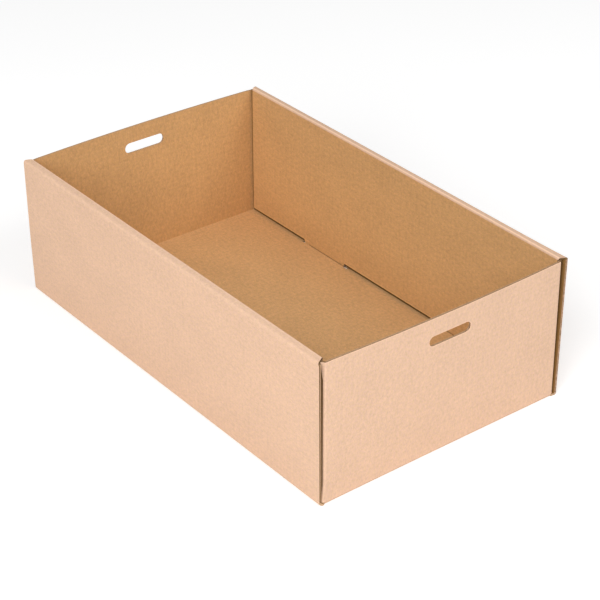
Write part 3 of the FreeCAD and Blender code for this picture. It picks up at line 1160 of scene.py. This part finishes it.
    def fit_flutes(self, piece: bpy.types.Object) -> bpy.types.Object:
        """Show the wavy ply wherever a cut crosses the flutes, and join it to the tray.

        Args:
            piece: the tray with open edges.

        Returns:
            The tray with its flutes.
        """
        strips = []
        for side in (1, -1):
            strips += self.foot_flutes(side) + self.slot_flutes(side)
        for hole in HOLES:
            strips.append(self.hole_flutes(hole))
        take_up(piece)
        for strip in strips:
            strip.select_set(True)
        bpy.ops.object.join()
        return piece

    def foot_flutes(self, side: int) -> list[bpy.types.Object]:
        """Make the wavy ply along one inner panel's lower edge and its tabs'.

        Args:
            side: 1 for the far panel and -1 for the near one.

        Returns:
            A strip for each stretch.
        """
        setback = self.board.liner
        reach = Vector((0, 0, 2 * self.board.edge_depth))
        foot, tip = self.panel_foot_z + setback, self.tab_foot_z + setback
        tab_low, tab_high = self.tab_low_x + self.tab_taper, self.tab_high_x - self.tab_taper
        stretches = (
            (-self.panel_end_x, -self.tab_high_x, foot),
            (-self.tab_low_x, self.tab_low_x, foot),
            (self.tab_high_x, self.panel_end_x, foot),
            (-tab_high, -tab_low, tip),
            (tab_low, tab_high, tip),
        )
        strips = []
        for low, high, up in stretches:
            start = Vector((low + 2 * setback, side * (self.panel_face_y + self.board.thickness / 2), up))
            run = Vector((high - low - 4 * setback, 0, 0))
            strips.append(self.flute_strip("foot_flutes", start, run, reach, Vector((0, 1, 0))))
        return strips

    def slot_flutes(self, side: int) -> list[bpy.types.Object]:
        """Make the wavy ply along the two slots beside one long wall.

        Args:
            side: 1 for the far wall and -1 for the near one.

        Returns:
            A strip for each long edge of each slot.
        """
        setback, reach = self.board.liner, 2 * self.board.edge_depth
        strips = []
        for end in (1, -1):
            run = Vector((end * (self.slot_high_x - self.slot_low_x), 0, 0))
            for out, inward in ((self.slot_low_y - setback, -reach), (self.slot_high_y + setback, reach)):
                start = Vector((end * self.slot_low_x, side * out, self.board.thickness / 2))
                depth = Vector((0, side * inward, 0))
                strips.append(self.flute_strip("slot_flutes", start, run, depth, Vector((0, 0, 1))))
        return strips

    def hole_flutes(self, hole: HandHole) -> bpy.types.Object:
        """Make the wavy ply round one hand hole.

        Args:
            hole: the hand hole.

        Returns:
            A patch of the ply with the hole cut through it.
        """
        along = hole.end * (self.half_length - self.board.thickness / 2)
        reach = 2 * self.board.edge_depth
        width = hole.length + 2 * reach
        start = Vector((along, hole.middle - width / 2, hole.low - reach))
        run = Vector((0, 0, hole.height + 2 * reach))
        patch = self.flute_strip("hole_flutes", start, run, Vector((0, width, 0)), Vector((1, 0, 0)))
        ends = (along - self.cutter_reach, along + self.cutter_reach)
        cutter = self.hole_cutter(hole, ends, self.board.liner)
        apply_modifier(patch, "BOOLEAN", operation="DIFFERENCE", solver="EXACT", object=cutter)
        discard(cutter)
        return patch

    def relax(self, piece: bpy.types.Object) -> None:
        """Let the panels bow, swing and spring as the real sheet's do.

        Args:
            piece: the joined tray.
        """
        for point in piece.data.vertices:
            co = point.co
            rise = max(0.0, co.z / self.height)
            across = co.y / self.end_fold_y
            beside_end = abs(co.x) > self.panel_end_x + NEAR and abs(co.y) < self.corner_fold_y + NEAR
            if beside_end and (self.in_shoulder(co) or not self.in_rim(co)):
                bow = self.end_bow * max(0.0, 1 - across ** 2) * rise ** 1.2
                swing = self.end_swing(rise) * ((1 - across) / 2) ** 2 if co.x > 0 else 0.0
                co.x += math.copysign(bow, co.x) + swing
                gap = self.corner_gap(co) * ramp(rise, 0, self.gap_rise)
                co.y -= math.copysign(gap * abs(across) ** 8, co.y)
            elif abs(co.y) > self.panel_face_y - NEAR and not self.in_flap(co):
                self.relax_wall(co, rise)

    def in_shoulder(self, co: Vector) -> bool:
        """Say whether a place is in an end panel's top corner, under the rolled rim.

        Args:
            co: the place on the folded tray.

        Returns:
            True for the panel, down to its foot, and for its flap's root below the shoulder.
        """
        behind = abs(co.x) > self.half_length - self.board.thickness - NEAR
        in_panel = behind and co.z < self.end_top_z + NEAR
        by_corner = abs(co.y) < self.end_fold_y + self.corner_margin
        return in_panel and (by_corner or co.z < self.shoulder_z + NEAR)

    def corner_gap(self, co: Vector) -> float:
        """Give how far an end panel's upright edge stands off the long wall at one corner.

        Args:
            co: a place of the edge.

        Returns:
            The gap there.
        """
        if co.y < 0:
            return self.near_gap
        if co.x < 0:
            return self.far_gap
        return co.z / self.height * self.right_gap

    def end_swing(self, rise: float) -> float:
        """Give how far the near end panel stands out at its near corner."""
        return self.swing_low + rise * (self.swing_high - self.swing_low)

    def in_rim(self, co: Vector) -> bool:
        """Say whether a place is in the rolled rim, above the end panel's corner."""
        rim_foot = self.height - self.board.thickness - self.rim_margin
        return abs(co.y) > self.panel_face_y - NEAR and co.z > rim_foot

    def in_flap(self, co: Vector) -> bool:
        """Say whether a place is in a corner flap.

        Args:
            co: the place on the folded tray.

        Returns:
            True between the plies of a long wall, from the flap's free edge to its fold.
        """
        between = self.panel_face_y + self.board.thickness < abs(co.y) < self.corner_fold_y + NEAR
        level = self.flap_foot_z - NEAR < co.z < self.shoulder_z + NEAR
        return between and level and abs(co.x) > self.flap_tip_x - NEAR

    def relax_wall(self, co: Vector, rise: float) -> None:
        """Bow and spring one point of a long wall, rim or inner panel.

        Args:
            co: the point, changed in place.
            rise: its height as a share of the tray's.
        """
        along = co.x / self.half_length
        far = co.y > 0
        if far:
            co.y += self.far_wall_bow * (1 - along ** 2) * rise
            if co.y > self.corner_fold_y:
                co.y += self.far_splay * max(0.0, along) ** 8
        over = ramp(abs(along), self.overhang_start, 1)
        share = self.outer_share(co)
        hang = self.overhang
        if co.x < 0 and not far:
            hang += (self.left_overhang - self.overhang) * ramp(rise, 0, self.hang_rise)
        hang += self.rim_fill(co) * ramp(co.z, self.height - self.nick_run, self.height) ** 1.5
        co.x += math.copysign(hang * over * share, co.x)
        if far:
            self.shift_far_panel(co, over, share)
        spring, inner_rise = self.far_spring, self.far_inner_rise
        if not far:
            spring, inner_rise = self.near_spring, self.near_inner_rise
        co.z += (spring + inner_rise * (1 - share)) * rise

    def shift_far_panel(self, co: Vector, over: float, share: float) -> None:
        """Shift one point of the far wall as its inner panel has slipped, with its sagging right foot.

        Args:
            co: the point, changed in place.
            over: how near it is to the wall's end, from 0 to 1.
            share: how much it moves with the outer wall, from 0 to 1.
        """
        along = co.x / self.half_length
        co.x += self.far_panel_shift * (1 - share)
        if co.x < 0 or self.in_rim(co):
            co.x += math.copysign(self.far_panel_stretch * over * (1 - share), co.x)
        if share < 0.5 and within(co.z, self.panel_foot_z, self.panel_foot_z + self.board.thickness):
            co.z -= self.foot_sag * ramp(along, self.sag_start, self.sag_end)

    def rim_fill(self, co: Vector) -> float:
        """Give how much of the rim end's slant is missing at one corner of the tray.

        Args:
            co: a place at the corner.

        Returns:
            The length that is missing.
        """
        if co.x > 0:
            return self.right_fill if co.y > 0 else 0.0
        return self.left_fill if co.y < 0 else 0.0

    def outer_share(self, co: Vector) -> float:
        """Give how much a place moves with the outer wall.

        Args:
            co: the place on the folded tray.

        Returns:
            From 0 on the inner panel to 1 on the outer wall.
        """
        if not self.in_rim(co):
            return float(abs(co.y) > self.ear_y - NEAR)
        return ramp(abs(co.y), self.panel_face_y, self.rim_y - self.board.thickness)

    def smooth(self, piece: bpy.types.Object) -> None:
        """Shade the folds smoothly and keep the panels flat.

        Args:
            piece: the joined tray.
        """
        take_up(piece)
        bpy.ops.object.shade_smooth_by_angle(angle=math.radians(self.smooth_angle))
        apply_modifier(piece, "WEIGHTED_NORMAL", mode="FACE_AREA", weight=100, keep_sharp=True)


def direction(azimuth: float, elevation: float) -> Vector:
    """Give a direction seen from the tray, as a unit vector.

    Args:
        azimuth: degrees round from the front.
        elevation: degrees above level.

    Returns:
        The direction.
    """
    around, above = math.radians(azimuth), math.radians(elevation)
    level = math.cos(above)
    return Vector((math.sin(around) * level, -math.cos(around) * level, math.sin(above)))


@dataclass(frozen=True)
class Softbox:
    """A square soft lamp that points at the tray, in degrees, metres and watts."""

    name: str
    azimuth: float
    elevation: float
    size: float
    power: float
    distance: float = 4.5
    aim_z: float = 0.1

    def hang(self) -> None:
        """Hang the lamp."""
        away = direction(self.azimuth, self.elevation)
        data = bpy.data.lights.new(self.name, "AREA")
        data.shape = "SQUARE"
        data.size = self.size
        data.energy = self.power
        lamp = bpy.data.objects.new(self.name, data)
        lamp.location = away * self.distance + Vector((0, 0, self.aim_z))
        lamp.rotation_euler = away.to_track_quat("Z", "Y").to_euler()
        bpy.context.scene.collection.objects.link(lamp)


@dataclass
class Studio:
    """The camera, the floor and the light."""

    azimuth: float = 52.12
    elevation: float = 30.92
    place: Sequence[float] = (1.79009, -1.36442, 1.41069)
    lens: float = 116.587
    sensor: float = 36.0
    floor_size: float = 30.0
    floor_z: float = -0.0004
    floor_white: float = 0.88
    floor_glow: float = 0.34
    sky_light: float = 0.4
    lamps: Sequence[Softbox] = (
        Softbox("front_softbox", azimuth=30, elevation=36, size=3.0, power=155.0),
        Softbox("side_softbox", azimuth=112, elevation=41, size=2.4, power=70.0),
    )

    def build(self) -> None:
        """Set up the whole studio."""
        self.set_camera()
        self.lay_floor()
        self.light()
        bpy.context.scene.view_settings.view_transform = "Standard"

    def set_camera(self) -> None:
        """Stand the camera where the photograph was taken from."""
        back = direction(self.azimuth, self.elevation)
        right = direction(self.azimuth + 90, 0)
        turned = Matrix((right, back.cross(right), back)).transposed().to_4x4()
        data = bpy.data.cameras.new("camera")
        data.lens = self.lens
        data.sensor_width = self.sensor
        camera = bpy.data.objects.new("camera", data)
        camera.matrix_world = Matrix.Translation(self.place) @ turned
        bpy.context.scene.collection.objects.link(camera)
        bpy.context.scene.camera = camera

    def lay_floor(self) -> None:
        """Lay the pale floor."""
        bpy.ops.object.select_all(action="DESELECT")
        bpy.ops.mesh.primitive_plane_add(size=self.floor_size, location=(0, 0, self.floor_z))
        floor = bpy.context.object
        floor.name = "floor"
        sheet = NodeSheet(bpy.data.materials.new("pale_floor"))
        rays = sheet.add("LightPath", {}).outputs
        seen = sheet.sum("MAXIMUM", rays["Is Camera Ray"], rays["Is Glossy Ray"])
        seen = sheet.sum("MAXIMUM", seen, rays["Is Transmission Ray"])
        paper = sheet.add("BsdfDiffuse", {"Color": (*[self.floor_white] * 3, 1)})
        strength = sheet.sum("MULTIPLY", seen, self.floor_glow)
        glow = sheet.add("Emission", {"Color": (1, 1, 1, 1), "Strength": strength})
        both = sheet.add("AddShader", {0: paper.outputs[0], 1: glow.outputs[0]})
        floor.data.materials.append(sheet.finish(both))

    def light(self) -> None:
        """Light the tray softly from the front and the right."""
        sheet = NodeSheet(bpy.data.worlds.new("soft_studio"))
        rays = sheet.add("LightPath", {}).outputs
        seen = sheet.sum("MAXIMUM", rays["Is Camera Ray"], rays["Is Glossy Ray"])
        strength = sheet.scaled(seen, 0.0, 1.0, self.sky_light, 1.0)
        bpy.context.scene.world = sheet.finish(sheet.add("Background", {"Strength": strength}))
        for lamp in self.lamps:
            lamp.hang()


def make_finishes(board: Board, tray: FoldedTray) -> list[bpy.types.Material]:
    """Make the tray's materials.

    Args:
        board: the board that the liners belong to.
        tray: the tray's sizes, for the places of its creases.

    Returns:
        The materials, in the order of the slots.
    """
    rim_crease = WearAndLightLine(Axis.OUT, tray.rim_out - 0.0010, 0.0055, 0.22, broken=0.9)
    # Painted highlight: a light line on the rim beside its inner fold, where the fold catches light.
    rim_fold_highlight = WearAndLightLine(Axis.OUT, tray.panel_out - 0.0016, 0.0022, 0.8)
    # Painted highlight: a pale line along the end panels' top cut edge.
    top_edge_highlight = WearAndLightLine(Axis.ALONG, tray.end_along - 0.0004, 0.0012, 0.5)
    # Where the tabs' painted shade line ends and the painted highlight of the lower edge takes over.
    tab_shade_end = tray.tab_high_x - 0.012
    # Painted highlight: a pale line along the inner panels' lower cut edge, left out over most of each tab.
    foot_highlights = [
        WearAndLightLine(Axis.OUT, tray.foot_out - 0.0003, 0.0014, 0.9, stretch=stretch)
        for stretch in ((0.0, tray.tab_low_x), (tab_shade_end, 1.0))
    ]
    # Painted shade: a dark line on the tabs where they meet the floor.
    floor_out = tray.foot_out + tray.panel_foot_z - board.thickness
    tab_root_shade = WearAndLightLine(Axis.OUT, floor_out - 0.0003, 0.0015, -1.0, stretch=(tray.tab_low_x, tab_shade_end))
    # Painted highlight: a faint light line on the inner panels just below the rim's inner fold.
    inside_rim_highlight = WearAndLightLine(Axis.OUT, tray.panel_out + 0.0015, 0.0012, 0.25)
    # The outer liner: a worn crease and painted highlights; the panel liner: painted highlights and painted
    # shade only.
    outer_wear_and_highlights = (rim_crease, rim_fold_highlight, top_edge_highlight)
    panel_painted_light = (*foot_highlights, tab_root_shade, inside_rim_highlight)
    finishes = {
        Finish.OUTER_LINER: KraftLiner(
            "outer_liner", (0.75, 0.50, 0.345, 1), board, outer_wear_and_highlights, holes=tray.half_length),
        # Painted shade: the outer liner's paper, darker and deeper, for the inside of the tray.
        Finish.INNER_LINER: KraftLiner("shaded_inner_liner", (0.70, 0.425, 0.198, 1), board, contrast=0.17),
        Finish.RAW_EDGE: RawEdge("raw_edge", (0.66, 0.44, 0.27, 1), (0.48, 0.30, 0.17, 1)),
        # Painted shade: dark brown for the flute channels and the rims' cut ends.
        Finish.FLUTES: RawEdge("shaded_flute_channel", (0.26, 0.155, 0.075, 1), (0.16, 0.09, 0.04, 1)),
        # Painted shade: the same kraft, darker and deeper, for the inner panels' faces and the end panels'
        # inner faces.
        Finish.PANEL_LINER: KraftLiner(
            "shaded_panel_liner", (0.64, 0.38, 0.167, 1), board, panel_painted_light, contrast=0.17),
        # Painted shade: near black-brown for the faces shut between the plies and the floor under the inner
        # panels.
        Finish.HIDDEN_LINER: KraftLiner("deep_shade_liner", (0.27, 0.145, 0.045, 1), board),
        Finish.CRUSHED_EDGE: RawEdge(
            "crushed_edge", (0.68, 0.47, 0.34, 1), (0.40, 0.27, 0.17, 1), grain=0.004),
    }
    return [finishes[slot].build() for slot in Finish]


def main() -> None:
    """Build the studio and the tray."""
    logging.basicConfig(level=logging.INFO)
    board = Board()
    low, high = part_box(NODE)
    tray = FoldedTray(high.x, high.y, high.z, board)
    tray.finishes = make_finishes(board, tray)
    piece = tray.build()
    LOG.info("%s: %d faces", piece.name, len(piece.data.polygons))
    Studio().build()


if __name__ == "__main__":
    main()
